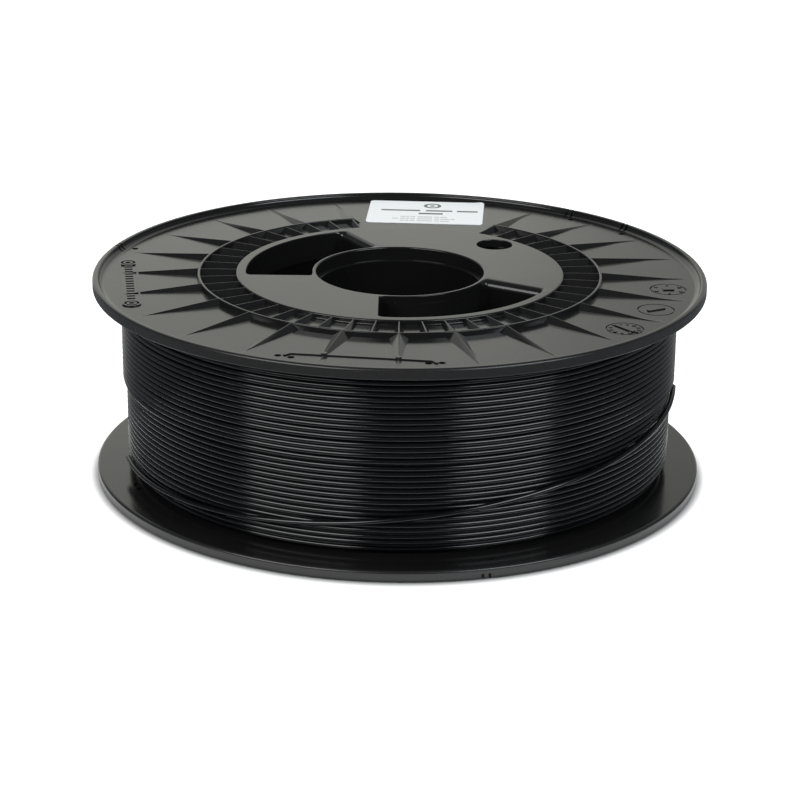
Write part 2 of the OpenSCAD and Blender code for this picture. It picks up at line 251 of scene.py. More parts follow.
class Graph:
    """A node tree under construction."""

    def __init__(self, tree):
        self.tree = tree
        tree.nodes.clear()

    def add(self, kind, settings=None, values=None, output=0):
        """Adds a node with its settings, then the values or links of its sockets; returns one output."""
        node = self.tree.nodes.new(kind)
        for key, value in (settings or {}).items():
            setattr(node, key, value)
        for key, value in (values or {}).items():
            socket = node.inputs[key]
            if isinstance(value, Wire):
                self.tree.links.new(value.socket, socket)
            else:
                socket.default_value = value
        return Wire(self, node.outputs[output] if node.outputs else None)

    def mix(self, share, first, second):
        """A colour between two colours."""
        keys = {0: share, 6: first, 7: second}
        return self.add("ShaderNodeMix", {"data_type": "RGBA"}, keys, output=2)

    def noise(self, place, scale, detail=2.0, seed=0.0, stretch=None):
        """Noise from 0 to 1 about a place, in features per metre."""
        if stretch:
            place = self.add("ShaderNodeMapping", {}, {"Vector": place, "Scale": stretch})
        return self.add("ShaderNodeTexNoise", {"noise_dimensions": "4D"},
                        {"Vector": place, "W": seed, "Scale": scale, "Detail": detail})

    def ramp(self, value, low, high):
        """0 below low, 1 above high, and smooth in between."""
        return self.add("ShaderNodeMapRange", {"interpolation_type": "SMOOTHSTEP"},
                        {"Value": value, "From Min": low, "From Max": high})


def rgba(rgb, factor=1.0):
    """A colour with alpha, made lighter or darker."""
    return (*[min(1.0, part * factor) for part in rgb], 1.0)


def surface(name, constants, varying):
    """A material with one Principled shader: constants on its own sockets, varying wires linked."""
    material = bpy.data.materials.new(name)
    material.use_nodes = True
    graph = Graph(material.node_tree)
    shader = graph.tree.nodes.new("ShaderNodeBsdfPrincipled")
    for key, value in constants.items():
        shader.inputs[key].default_value = value
    for key, wire in varying(graph).items():
        graph.tree.links.new(wire.socket, shader.inputs[key])
    graph.add("ShaderNodeOutputMaterial", {}, {"Surface": Wire(graph, shader.outputs[0])})
    return material


def moulded_plastic(name, plastic, roughness, seed):
    """Satin injection-moulded plastic: faint flow clouds, a fine pebble, a little dust, and a lighter,
    rougher band at the rim's outer edge.
    """

    def varying(graph):
        place = graph.add("ShaderNodeTexCoord", output="Object")
        clouds = graph.noise(place, 38, 3, seed)
        flow = graph.noise(place, 90, 2, seed + 5, (1, 1, 0.3))
        pebble = graph.noise(place, 2600, 2, seed + 9)
        dust = graph.ramp(graph.noise(place, 950, 1, seed + 13), 0.74, 0.80)
        tone = graph.mix(clouds, rgba(plastic, 0.8), rgba(plastic, 1.25))
        tone = graph.mix(dust * 0.2, tone, (0.06, 0.06, 0.06, 1))
        flat = graph.add("ShaderNodeVectorMath", {"operation": "MULTIPLY"}, {0: place, 1: (1, 1, 0)})
        away = graph.add("ShaderNodeVectorMath", {"operation": "LENGTH"}, {0: flat}, output=1)
        # A lighter, rougher band on the rim's outermost edge.
        rim_edge_band = graph.ramp(away, FLANGE_R - 1.2 * MM, FLANGE_R - 0.5 * MM)
        tone = graph.mix(rim_edge_band, tone, rgba(plastic, 1.5))
        shine = roughness + (clouds - 0.5) * 0.06 + (flow - 0.5) * 0.05 + dust * 0.10 + rim_edge_band * 0.08
        skin = pebble + clouds * 6
        bump = graph.add("ShaderNodeBump", {}, {"Strength": 0.4, "Distance": 0.00002, "Height": skin})
        return {"Base Color": tone, "Roughness": shine, "Normal": bump}

    return surface(name, {"IOR": 1.5, "Specular IOR Level": 0.5}, varying)


def drawn_filament(name, filament, roughness, seed):
    """Glossy extruded strand: slow tone changes along it, and fine drawing marks."""

    def varying(graph):
        place = graph.add("ShaderNodeTexCoord", output="Object")
        slow = graph.noise(place, 22, 2, seed)
        drawn = graph.noise(place, 700, 2, seed + 3, (0.12, 0.12, 5))
        smudge = graph.ramp(graph.noise(place, 60, 3, seed + 7), 0.5, 0.75)
        tone = graph.mix(slow, rgba(filament, 0.8), rgba(filament, 1.3))
        shine = roughness + (slow - 0.5) * 0.06 + (drawn - 0.5) * 0.05 + smudge * 0.05
        bump = graph.add("ShaderNodeBump", {}, {"Strength": 0.2, "Distance": 0.00001, "Height": drawn})
        return {"Base Color": tone, "Roughness": shine, "Normal": bump}

    return surface(name, {"IOR": 1.57, "Specular IOR Level": 0.5}, varying)


# ---------------------------------------------------------------------------------------------
# Mesh helpers


def polar(radius, turn, z=0.0):
    """A point at a distance from the axis, an angle and a height."""
    return Vector((radius * math.cos(turn), radius * math.sin(turn), z))


def arc(centre, radii, start, end, steps):
    """Points of an elliptic arc; angles in degrees."""
    return [(centre[0] + radii[0] * math.cos(math.radians(start + (end - start) * i / steps)),
             centre[1] + radii[1] * math.sin(math.radians(start + (end - start) * i / steps)))
            for i in range(steps + 1)]


def add_loop(bm, points):
    return [bm.verts.new(point) for point in points]


def add_ring(bm, radius, z, steps=TURN_STEPS):
    """A closed ring of vertices about the axis."""
    return add_loop(bm, [polar(radius, math.tau * i / steps, z) for i in range(steps)])


def skin(bm, loops, closed=True):
    """Quads between neighbouring loops of the same length."""
    for one, two in zip(loops, loops[1:]):
        count = len(one)
        for i in range(count if closed else count - 1):
            j = (i + 1) % count
            bm.faces.new((one[i], one[j], two[j], two[i]))


def loop_edges(bm, loop):
    """The edges round a closed loop of vertices, made where they are missing."""
    edges = []
    for one, two in zip(loop, loop[1:] + loop[:1]):
        edges.append(bm.edges.get((one, two)) or bm.edges.new((one, two)))
    return edges


def fill_between(bm, loops, up):
    """A flat face with holes between closed loops."""
    edges = [edge for loop in loops for edge in loop_edges(bm, loop)]
    bmesh.ops.triangle_fill(bm, use_beauty=True, use_dissolve=False, edges=edges, normal=(0, 0, up))


def turned_body(bm, outline, start=0.0, sweep=math.tau, steps=TURN_STEPS):
    """A closed outline of (radius, z) points swept about the axis, with end caps if it isn't a full turn."""
    full = abs(sweep - math.tau) < 1e-6
    count = steps if full else max(2, round(steps * sweep / math.tau))
    rows = [add_loop(bm, [polar(r, start + sweep * i / count, z) for r, z in outline])
            for i in range(count if full else count + 1)]
    skin(bm, rows + rows[:1] if full else rows)
    if not full:
        bm.faces.new(rows[0])
        bm.faces.new(rows[-1])


def prism(bm, outline, low, high):
    """A closed outline of (x, y) points between two heights."""
    bottom = add_loop(bm, [(x, y, low) for x, y in outline])
    top = add_loop(bm, [(x, y, high) for x, y in outline])
    skin(bm, [bottom, top])
    bm.faces.new(bottom)
    bm.faces.new(top)


def circle_points(centre, radius, steps):
    return [(centre[0] + radius * math.cos(math.tau * i / steps),
             centre[1] + radius * math.sin(math.tau * i / steps)) for i in range(steps)]


def tube_prism(bm, centre, outer, inner, low, high, steps=48):
    """A short upright tube."""
    loops = [[(x, y, z) for x, y in circle_points(centre, radius, steps)]
             for radius, z in ((inner, low), (outer, low), (outer, high), (inner, high))]
    rings = [add_loop(bm, points) for points in loops]
    skin(bm, rings + rings[:1])


def box_outline(centre, size, turn):
    """Corners of a turned rectangle."""
    half = [(-0.5, -0.5), (0.5, -0.5), (0.5, 0.5), (-0.5, 0.5)]
    cos, sin = math.cos(turn), math.sin(turn)
    return [(centre[0] + x * size[0] * cos - y * size[1] * sin,
             centre[1] + x * size[0] * sin + y * size[1] * cos) for x, y in half]


def finished_mesh(bm, name):
    """Closes a bmesh into a mesh with outward normals."""
    bmesh.ops.recalc_face_normals(bm, faces=bm.faces)
    mesh = bpy.data.meshes.new(name)
    bm.to_mesh(mesh)
    bm.free()
    return mesh


def new_object(name, mesh):
    piece = bpy.data.objects.new(name, mesh)
    bpy.context.scene.collection.objects.link(piece)
    return piece


def apply_modifiers(piece):
    """Turns the evaluated piece into a plain mesh."""
    bpy.context.view_layer.update()
    graph = bpy.context.evaluated_depsgraph_get()
    mesh = bpy.data.meshes.new_from_object(piece.evaluated_get(graph), depsgraph=graph)
    piece.modifiers.clear()
    piece.data = mesh
    return piece


def soften(piece):
    """Smooth shading that keeps creases, with flat faces kept flat by weighted normals."""
    mesh = piece.data
    mesh.shade_smooth()
    mesh.set_sharp_from_angle(angle=SMOOTH_ANGLE)
    weights = piece.modifiers.new("flat faces", "WEIGHTED_NORMAL")
    weights.keep_sharp = True
    apply_modifiers(piece)


def stand_in_frame(piece, material, nodes):
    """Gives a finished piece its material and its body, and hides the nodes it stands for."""
    mesh = piece.data
    mesh.materials.clear()
    mesh.materials.append(material)
    mesh.polygons.foreach_set("material_index", [0] * len(mesh.polygons))
    mesh.name = piece.name
    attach(piece, "root")
    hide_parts(*nodes)
    return piece


# ---------------------------------------------------------------------------------------------
# Geometry Nodes trees


def tree_input(tree, name, kind, default=None):
    socket = tree.interface.new_socket(name=name, in_out="INPUT", socket_type=kind)
    if default is not None:
        socket.default_value = default
    return socket


def set_inputs(modifier, values):
    """Sets a modifier's inputs by the identifiers of their sockets."""
    sockets = {item.name: item.identifier for item in modifier.node_group.interface.items_tree
               if item.item_type == "SOCKET" and item.in_out == "INPUT"}
    for name, value in values.items():
        modifier[sockets[name]] = value


def arc_row_tree():
    """Copies of the incoming mesh, each turned about the axis by one more step."""
    tree = bpy.data.node_groups.new("Arc row", "GeometryNodeTree")
    tree_input(tree, "Part", "NodeSocketGeometry")
    tree_input(tree, "Count", "NodeSocketInt", 1)
    tree_input(tree, "First angle", "NodeSocketFloat", 0.0)
    tree_input(tree, "Step angle", "NodeSocketFloat", 0.0)
    tree_input(tree, "Finish", "NodeSocketMaterial")
    tree.interface.new_socket(name="Row", in_out="OUTPUT", socket_type="NodeSocketGeometry")
    graph = Graph(tree)
    inputs = tree.nodes.new("NodeGroupInput")
    part, count, first, step, finish = [Wire(graph, inputs.outputs[i]) for i in range(5)]
    spots = graph.add("GeometryNodeMeshLine", {}, {"Count": count, "Offset": (0, 0, 0)})
    index = graph.add("GeometryNodeInputIndex")
    turn = graph.add("ShaderNodeCombineXYZ", {}, {"Z": first + index * step})
    row = graph.add("GeometryNodeInstanceOnPoints", {}, {"Points": spots, "Instance": part, "Rotation": turn})
    row = graph.add("GeometryNodeRealizeInstances", {}, {"Geometry": row})
    row = graph.add("GeometryNodeSetMaterial", {}, {"Geometry": row, "Material": finish})
    graph.add("NodeGroupOutput", {}, {"Row": row})
    return tree


def winding_tree():
    """A round strand wound about the axis, with turns that stray a little from an even pitch."""
    tree = bpy.data.node_groups.new("Winding", "GeometryNodeTree")
    names = ("Turns", "Start angle", "Radius", "Bottom", "Top", "Level share", "Strand", "Wander", "Seed")
    for name in names:
        tree_input(tree, name, "NodeSocketFloat", 0.0)
    tree_input(tree, "Points", "NodeSocketInt", 2)
    tree_input(tree, "Sides", "NodeSocketInt", 12)
    tree_input(tree, "Finish", "NodeSocketMaterial")
    tree.interface.new_socket(name="Strand", in_out="OUTPUT", socket_type="NodeSocketGeometry")
    graph = Graph(tree)
    inputs = tree.nodes.new("NodeGroupInput")
    wires = [Wire(graph, socket) for socket in inputs.outputs[:12]]
    turns, start, radius, bottom, top, level, strand, wander, seed, points, sides, finish = wires
    line = graph.add("GeometryNodeCurvePrimitiveLine")
    line = graph.add("GeometryNodeResampleCurve", {}, {"Curve": line, "Count": points})
    along = graph.add("GeometryNodeSplineParameter")
    turn = start + turns * along * math.tau
    eased = (along * along) / (level * (2 - level))
    even = (2 * along - level) / (2 - level)
    is_even = along > level
    climb = eased * (1 - is_even) + even * is_even
    stray = graph.add("ShaderNodeTexNoise", {"noise_dimensions": "1D"},
                      {"W": turns * along * 0.93 + seed, "Scale": 1.0, "Detail": 1.0})
    ripple = graph.add("ShaderNodeTexNoise", {"noise_dimensions": "1D"},
                       {"W": turns * along * 7 + seed, "Scale": 1.0, "Detail": 1.0})
    z = bottom + (top - bottom) * climb + wander * ((stray - 0.5) * 2 + (ripple - 0.5) * 0.6)
    out = radius + wander * (ripple - 0.5) * 0.5
    place = graph.add("ShaderNodeCombineXYZ", {}, {
        "X": out * turn.math("COSINE", turn), "Y": out * turn.math("SINE", turn), "Z": z})
    path = graph.add("GeometryNodeSetPosition", {}, {"Geometry": line, "Position": place})
    path = graph.add("GeometryNodeSetCurveNormal", {"mode": "Z_UP"}, {"Curve": path})
    section = graph.add("GeometryNodeCurvePrimitiveCircle", {}, {"Resolution": sides, "Radius": strand / 2})
    body = graph.add("GeometryNodeCurveToMesh", {},
                     {"Curve": path, "Profile Curve": section, "Fill Caps": True})
    body = graph.add("GeometryNodeSetShadeSmooth", {}, {"Geometry": body})
    body = graph.add("GeometryNodeRealizeInstances", {}, {"Geometry": body})
    body = graph.add("GeometryNodeSetMaterial", {}, {"Geometry": body, "Material": finish})
    graph.add("NodeGroupOutput", {}, {"Strand": body})
    return tree


def shared_tree(name, maker):
    """The tree of that name, made on first use."""
    return bpy.data.node_groups.get(name) or maker()


def grown(piece, tree, values):
    """The piece after a Geometry Nodes tree has run on it."""
    modifier = piece.modifiers.new(tree.name, "NODES")
    modifier.node_group = tree
    set_inputs(modifier, values)
    return apply_modifiers(piece)


# ---------------------------------------------------------------------------------------------
# Shapes that the flange and the drum share


WINDOW_STARTS = (math.radians(120), math.radians(270))
WINDOW_SWEEP = math.radians(60)
FIRST_EDGES = (5.2 * MM, 6.5 * MM)
LAST_EDGES = (6.5 * MM, 5.2 * MM)
# Which edge of each window has the rolled lip: its first or its last
LIPPED = ("first", "last")
EDGE_POINTS, OUTER_POINTS, INNER_POINTS = 44, 78, 30
CORNER_SPREAD = 3
SLIVER = 0.05 * MM


def edge_line(window, which, offset, radius):
    """Where a window's straight edge, set out from its radial line, meets a radius."""
    side = -1 if which == "first" else 1
    turn = WINDOW_STARTS[window] + (0 if which == "first" else WINDOW_SWEEP)
    outward = Vector((-math.sin(turn), math.cos(turn))) * side
    along = Vector((math.cos(turn), math.sin(turn)))
    return outward * offset + along * math.sqrt(radius * radius - offset * offset)


def smoothed(values, spread):
    """Moving average round a closed list of numbers or vectors."""
    count = len(values)
    width = 2 * spread + 1
    zero = values[0] * 0
    return [sum((values[(i + k) % count] for k in range(-spread, spread + 1)), zero) / width
            for i in range(count)]


def arc_between(one, two, radius, count):
    """Points on a circle about the axis between two directions, without the last."""
    start = math.atan2(one.y, one.x)
    sweep = (math.atan2(two.y, two.x) - start + math.pi) % math.tau - math.pi
    return [polar(radius, start + sweep * i / count).xy for i in range(count)]


def window_outline(window, sizes, share):
    """Plan of a window with rounded corners, set out by a share of its lips, and the lip sizes."""
    lips = {which: sizes.window_lip if LIPPED[window] == which else sizes.window_edge
            for which in ("first", "last")}
    small = sizes.window_edge
    first = FIRST_EDGES[window] + lips["first"] * share
    last = LAST_EDGES[window] + lips["last"] * share
    inner = COLLAR_R + sizes.collar_wall + SLIVER - small * share
    outer = sizes.window_radius - SLIVER + small * share
    corners = [edge_line(window, "first", first, inner), edge_line(window, "first", first, outer),
               edge_line(window, "last", last, outer), edge_line(window, "last", last, inner)]
    points = [corners[0].lerp(corners[1], i / EDGE_POINTS) for i in range(EDGE_POINTS)]
    points += arc_between(corners[1], corners[2], outer, OUTER_POINTS)
    points += [corners[2].lerp(corners[3], i / EDGE_POINTS) for i in range(EDGE_POINTS)]
    points += arc_between(corners[3], corners[0], inner, INNER_POINTS)
    depths = ([lips["first"]] * EDGE_POINTS + [small] * OUTER_POINTS
              + [lips["last"]] * EDGE_POINTS + [small] * INNER_POINTS)
    return smoothed(points, CORNER_SPREAD), smoothed(depths, CORNER_SPREAD)


def rounded_ridge(foot, ridge, low, high, radius, steps=4):
    """Section of a rib: sloping sides and a ridge with rounded corners, from left foot to right foot."""
    def corner(side):
        tip = Vector((side * ridge, high))
        down = (Vector((side * foot, low)) - tip).normalized() * radius
        across = Vector((-side * radius, 0))
        path = []
        for i in range(steps + 1):
            t = i / steps
            path.append(tip + down * (1 - t) ** 2 + across * t ** 2)
        return path if side < 0 else path[::-1]
    return [Vector((-foot, low))] + corner(-1) + corner(1) + [Vector((foot, low))]


# ---------------------------------------------------------------------------------------------
# Flange


END_HOLES = ((93.8, 50), (93.8, 35), (94, 162.3), (90.2, -113.4), (90.2, -110.7), (89, -84.3), (89, -81.7))
END_HOLE_R = 1.1 * MM
SLIT_ANGLES = (52, 37, 164.3)
SLIT_SIZE = (0.9 * MM, 1.9 * MM)
SLIT_SPACING = 2.2 * MM
DIAL_ANGLES = (-7.5, -22.5, -37.5)
DIAL_AT = 87.5 * MM
DIAL_R = 6 * MM
GROOVE = 0.5 * MM
# Pointer bar of each dial: length, width and direction
POINTERS = ((3.6 * MM, 2.4 * MM, 5), (6.2 * MM, 1.3 * MM, 29), (8.2 * MM, 1.3 * MM, -52))
# Ticks round each dial
TICKS = (6, 0, 12)
TICK = (1.1 * MM, 0.8 * MM)
PLAQUE = {"angle": 187.5, "at": 87.9 * MM, "length": 51 * MM, "width": 6 * MM, "frame": 0.6 * MM}
PLAQUE_BARS = 15
PLAQUE_BAR = (2.6 * MM, 1.0 * MM)
# Height of the ticks and bars above the web
LOW_MARK = 0.2 * MM
CHORD = {"angle": -97.5, "at": 84.6 * MM, "length": 44 * MM, "width": 0.8 * MM, "height": 0.35 * MM}
HOOK = {"length": 2.6 * MM, "turn": 42}
PIN_R = 0.9 * MM
PIN_HEIGHT = 0.9 * MM
# Rounding of the ridges, and the gussets' drop below the outer face
RIDGE_ROUND = 0.12 * MM
GUSSET_DROP = 0.2 * MM


# Extra rows of vertices in the pocket and on the web
POCKET_ROW, WEB_ROW = 60 * MM, 80 * MM
# Fillet at the pocket's inner foot
HEEL = 0.5 * MM
# The spigot fits inside the drum's wall, with play
DRUM_WALL, PLAY, SPIGOT_DEPTH = 2.2 * MM, 0.1 * MM, 9 * MM
# Size of the winding side's rounded edge
BACK_EDGE = (1.0 * MM, 0.9 * MM)
# Sides of the drive hole, and of the filament holes and the pins
HOLE_STEPS, PIN_STEPS = 72, 28
LIP_STEPS = 7
# How far cutters stand out of the flange, and where the filament holes' cutters end
CUTTER_OUT, CUTTER_FOOT = 1 * MM, -8 * MM


def web_height(sizes, radius):
    """Height of the web's surface at a radius, from the outer face."""
    rim = FLANGE_R - sizes.rim_width
    share = (radius - sizes.ring_radius) / (rim - sizes.ring_radius)
    return -sizes.web_depth_inner + (sizes.web_depth_inner - sizes.web_depth_outer) * share


def flange_profile(sizes):
    """Outline of the flange from the hub plate's top edge round the rim to the plate's underside."""
    edge = sizes.edge
    rim_in = FLANGE_R - sizes.rim_width
    foot = rim_in - sizes.rim_fillet
    foot_z = web_height(sizes, foot)
    floor_z = -sizes.web_depth_inner
    drum_in = DRUM_R - DRUM_WALL
    points = arc((DRUM_R - edge, -edge), (edge, edge), 90, 0, 5)
    points += arc((DRUM_R + HEEL, floor_z + HEEL), (HEEL, HEEL), 180, 270, 4)
    points += [(POCKET_ROW, floor_z), (sizes.ring_radius, floor_z), (WEB_ROW, web_height(sizes, WEB_ROW))]
    points += [(foot - 1 * MM, web_height(sizes, foot - 1 * MM))]
    points += arc((foot, -edge), (sizes.rim_fillet, -foot_z - edge), -90, -6, 12)
    points += arc((rim_in + edge, -edge), (edge, edge), 180, 90, 5)
    points += arc((FLANGE_R - sizes.rim_edge, -sizes.rim_edge), (sizes.rim_edge, sizes.rim_edge), 90, 0, 7)
    back_rim = FLANGE_R - BACK_EDGE[0]
    points += arc((back_rim, BACK_EDGE[1] - sizes.back_depth_outer), BACK_EDGE, 0, -90, 8)
    drop = sizes.back_depth_outer - sizes.back_depth_inner
    for share in (0.1, 0.55):
        points += [(back_rim - share * (back_rim - DRUM_R), share * drop - sizes.back_depth_outer)]
    points += [(DRUM_R, -sizes.back_depth_inner), (drum_in - PLAY, -sizes.back_depth_inner)]
    points += [(drum_in - PLAY, -SPIGOT_DEPTH), (sizes.window_radius, -SPIGOT_DEPTH)]
    points += [(sizes.window_radius, -sizes.plate)]
    return points


def collar_profile(sizes):
    """Outline from the plate's top edge down the collar and back up to the plate's underside."""
    edge = sizes.edge
    seat = TUBE_R + SLIVER
    outer = COLLAR_R + sizes.collar_wall
    points = arc((COLLAR_R + edge, -edge), (edge, edge), 90, 180, 5)
    points += [(COLLAR_R, -LEDGE_DEPTH), (seat, -LEDGE_DEPTH), (seat, -sizes.collar_depth)]
    points += [(outer, -sizes.collar_depth), (outer, -sizes.plate)]
    return points


def flange_base(sizes):
    """The flange without ribs and marks: plate with its windows, collar, web and rim."""
    bm = bmesh.new()
    outer = [add_ring(bm, r, z) for r, z in flange_profile(sizes)]
    inner = [add_ring(bm, r, z) for r, z in collar_profile(sizes)]
    skin(bm, outer)
    skin(bm, inner)
    tops = [outer[0], inner[0]]
    bottoms = [outer[-1], inner[-1]]
    for window in range(2):
        loops = []
        for step in range(LIP_STEPS + 1):
            quarter = math.pi / 2 * (1 - step / LIP_STEPS)
            points, depths = window_outline(window, sizes, 1 - math.cos(quarter))
            fall = 1 - math.sin(quarter)
            loops.append(add_loop(bm, [(p.x, p.y, -d * fall) for p, d in zip(points, depths)]))
        points, _ = window_outline(window, sizes, 0)
        loops.append(add_loop(bm, [(p.x, p.y, -sizes.plate - 0.04 * MM) for p in points]))
        skin(bm, loops)
        tops.append(loops[0])
        bottoms.append(loops[-1])
    hole = []
    for step in range(5):
        quarter = math.pi / 2 * (1 - step / 4)
        reach = DRIVE_HOLE_R + sizes.window_edge * (1 - math.cos(quarter))
        drop = -sizes.window_edge * (1 - math.sin(quarter))
        hole.append(add_loop(bm, [(x, y, drop) for x, y in circle_points(DRIVE_HOLE_AT, reach, HOLE_STEPS)]))
    bottom = circle_points(DRIVE_HOLE_AT, DRIVE_HOLE_R, HOLE_STEPS)
    hole.append(add_loop(bm, [(x, y, -sizes.plate) for x, y in bottom]))
    skin(bm, hole)
    tops.append(hole[0])
    bottoms.append(hole[-1])
    for loop in bottoms:
        for vert in loop:
            vert.co.z = -sizes.plate
    fill_between(bm, tops, 1)
    fill_between(bm, bottoms, -1)
    return new_object("flange_blank", finished_mesh(bm, "flange_blank"))


def flange_cutters(sizes):
    """Everything that is cut from the flange: filament holes, rim slits and dial grooves."""
    bm = bmesh.new()
    for reach, degrees in END_HOLES:
        spot = polar(reach * MM, math.radians(degrees))
        prism(bm, circle_points(spot, END_HOLE_R, PIN_STEPS), CUTTER_FOOT, CUTTER_OUT)
    rim_in = FLANGE_R - sizes.rim_width - sizes.rim_fillet
    for degrees in SLIT_ANGLES:
        turn = math.radians(degrees)
        for side in (-0.5, 0.5):
            reach = (rim_in + FLANGE_R + CUTTER_OUT) / 2
            middle = polar(reach, turn) + polar(side * SLIT_SPACING, turn + math.pi / 2)
            span = FLANGE_R + CUTTER_OUT - rim_in
            prism(bm, box_outline(middle, (span, SLIT_SIZE[0]), turn), -SLIT_SIZE[1], CUTTER_OUT)
    floor = web_height(sizes, DIAL_AT) - sizes.mark_height
    for degrees in DIAL_ANGLES:
        middle = polar(DIAL_AT, math.radians(degrees))
        tube_prism(bm, middle, DIAL_R, DIAL_R - GROOVE, floor, 0.5 * MM)
    return new_object("flange_cutters", finished_mesh(bm, "flange_cutters"))


def long_rib(sizes):
    """One long rib: its section shrinks to a point where it meets the web."""
    start = sizes.ring_radius - sizes.ring_wall / 2
    floor = web_height(sizes, sizes.ring_radius)
    low = min(floor, web_height(sizes, sizes.rib_tip)) - SLIVER
    slope = -web_height(sizes, sizes.rib_tip) / (sizes.rib_tip - start)
    end = start - low / slope
    foot = sizes.ridge / 2 + (sizes.rib_width - sizes.ridge) / 2 * low / floor
    section = rounded_ridge(foot, sizes.ridge / 2, low, 0, RIDGE_ROUND)
    bm = bmesh.new()
    face = add_loop(bm, [(start, p.x, p.y) for p in section])
    tip = bm.verts.new((end, 0, low))
    bm.faces.new(face)
    for one, two in zip(face, face[1:] + face[:1]):
        bm.faces.new((one, two, tip))
    return new_object("long_ribs", finished_mesh(bm, "long_rib"))


def gusset(sizes):
    """One short gusset across the pocket ring; it widens from the hub plate to the ring wall."""
    start = DRUM_R - sizes.edge
    end = sizes.ring_radius - sizes.ring_wall / 2
    low = web_height(sizes, sizes.ring_radius) - SLIVER
    bm = bmesh.new()
    loops = []
    for reach, width in ((start, sizes.gusset_tip), (end, sizes.gusset_width)):
        section = rounded_ridge(width / 2, sizes.ridge / 2, low, -GUSSET_DROP, RIDGE_ROUND)
        loops.append(add_loop(bm, [(reach, p.x, p.y) for p in section]))
    skin(bm, loops)
    bm.faces.new(loops[0])
    bm.faces.new(loops[1])
    return new_object("gussets", finished_mesh(bm, "gusset"))


def ring_and_marks(sizes):
    """The ring wall, the plaque, the dials' pointers and ticks, and the chord rib with its pins."""
    bm = bmesh.new()
    low = web_height(sizes, sizes.ring_radius) - SLIVER
    outer = sizes.ring_radius
    inner = outer - sizes.ring_wall
    crest = 0.3 * MM
    outline = [(inner - 0.2 * MM, low)] + arc((inner + crest, -crest), (crest, crest), 170, 90, 4)
    outline += arc((outer - crest, -crest), (crest, crest), 90, 10, 4) + [(outer + 0.3 * MM, low)]
    turned_body(bm, outline, sizes.ribs_start, sizes.ribs_sweep)
    mark = sizes.mark_height
    z = web_height(sizes, DIAL_AT)
    for degrees, pointer, ticks in zip(DIAL_ANGLES, POINTERS, TICKS):
        middle = polar(DIAL_AT, math.radians(degrees))
        prism(bm, box_outline(middle, pointer[:2], math.radians(pointer[2])), z - mark, z + mark)
        for tick in range(ticks):
            turn = math.tau * (tick + 0.5) / ticks
            prism(bm, box_outline(middle + polar(DIAL_R * 0.74, turn), TICK, turn), z - mark, z + LOW_MARK)
    turn = math.radians(PLAQUE["angle"])
    z = web_height(sizes, PLAQUE["at"])
    straight = PLAQUE["length"] - PLAQUE["width"]
    for side in (-0.5, 0.5):
        bar = polar(PLAQUE["at"] + side * (PLAQUE["width"] - PLAQUE["frame"]), turn)
        prism(bm, box_outline(bar, (PLAQUE["frame"], straight), turn), z - mark, z + mark)
        end = polar(PLAQUE["at"], turn) + polar(side * straight, turn + math.pi / 2)
        half = PLAQUE["width"] / 2
        tube_prism(bm, end, half, half - PLAQUE["frame"], z - mark, z + mark)
        tube_prism(bm, end, half * 0.55, half * 0.3, z - mark, z + mark)
    for bar in range(PLAQUE_BARS):
        along = straight * 0.84 * (bar / (PLAQUE_BARS - 1) - 0.5)
        spot = polar(PLAQUE["at"], turn) + polar(along, turn + math.pi / 2)
        prism(bm, box_outline(spot, PLAQUE_BAR, turn), z - mark, z + LOW_MARK)
    turn = math.radians(CHORD["angle"])
    z = web_height(sizes, CHORD["at"])
    middle = polar(CHORD["at"], turn)
    prism(bm, box_outline(middle, (CHORD["width"], CHORD["length"]), turn), z - mark, z + CHORD["height"])
    for side in (-1, 1):
        pin = middle + polar(side * CHORD["at"] * math.tan(sizes.gusset_step), turn + math.pi / 2)
        prism(bm, circle_points(pin, PIN_R, PIN_STEPS), z - mark, z + PIN_HEIGHT)
        lean = turn + side * math.radians(HOOK["turn"])
        hook = middle + polar(side * (CHORD["length"] / 2 - CHORD["width"]), turn + math.pi / 2)
        hook = hook + polar(HOOK["length"] / 2, lean)
        prism(bm, box_outline(hook, (HOOK["length"], CHORD["width"] * 0.96), lean), z - mark,
              z + CHORD["height"] * 0.96)
    return new_object("ring_and_marks", finished_mesh(bm, "ring_and_marks"))


def arc_row(piece, sizes, step, finish):
    """A row of copies of a rib over the ribbed sweep."""
    count = round(sizes.ribs_sweep / step) + 1
    values = {"Count": count, "First angle": sizes.ribs_start, "Step angle": step, "Finish": finish}
    return grown(piece, shared_tree("Arc row", arc_row_tree), values)


def combine(base, operation, tool):
    """Joins a tool to the base or cuts it away, and removes the tool."""
    modifier = base.modifiers.new(operation, "BOOLEAN")
    modifier.operation = operation
    modifier.solver = "EXACT"
    modifier.use_self = operation == "UNION"
    modifier.object = tool
    apply_modifiers(base)
    bpy.data.objects.remove(tool)


def joined(name, pieces):
    """One object from several meshes."""
    bm = bmesh.new()
    for piece in pieces:
        bm.from_mesh(piece.data)
        bpy.data.objects.remove(piece)
    mesh = bpy.data.meshes.new(name)
    bm.to_mesh(mesh)
    bm.free()
    return new_object(name, mesh)


def flange_moulding(sizes, finish):
    """The whole flange with its outer face at z = 0 and its winding side below."""
    base = flange_base(sizes)
    combine(base, "DIFFERENCE", flange_cutters(sizes))
    ribs = arc_row(long_rib(sizes), sizes, sizes.rib_step, finish)
    gussets = arc_row(gusset(sizes), sizes, sizes.gusset_step, finish)
    combine(base, "UNION", joined("flange_ribs", [ring_and_marks(sizes), ribs, gussets]))
    return base


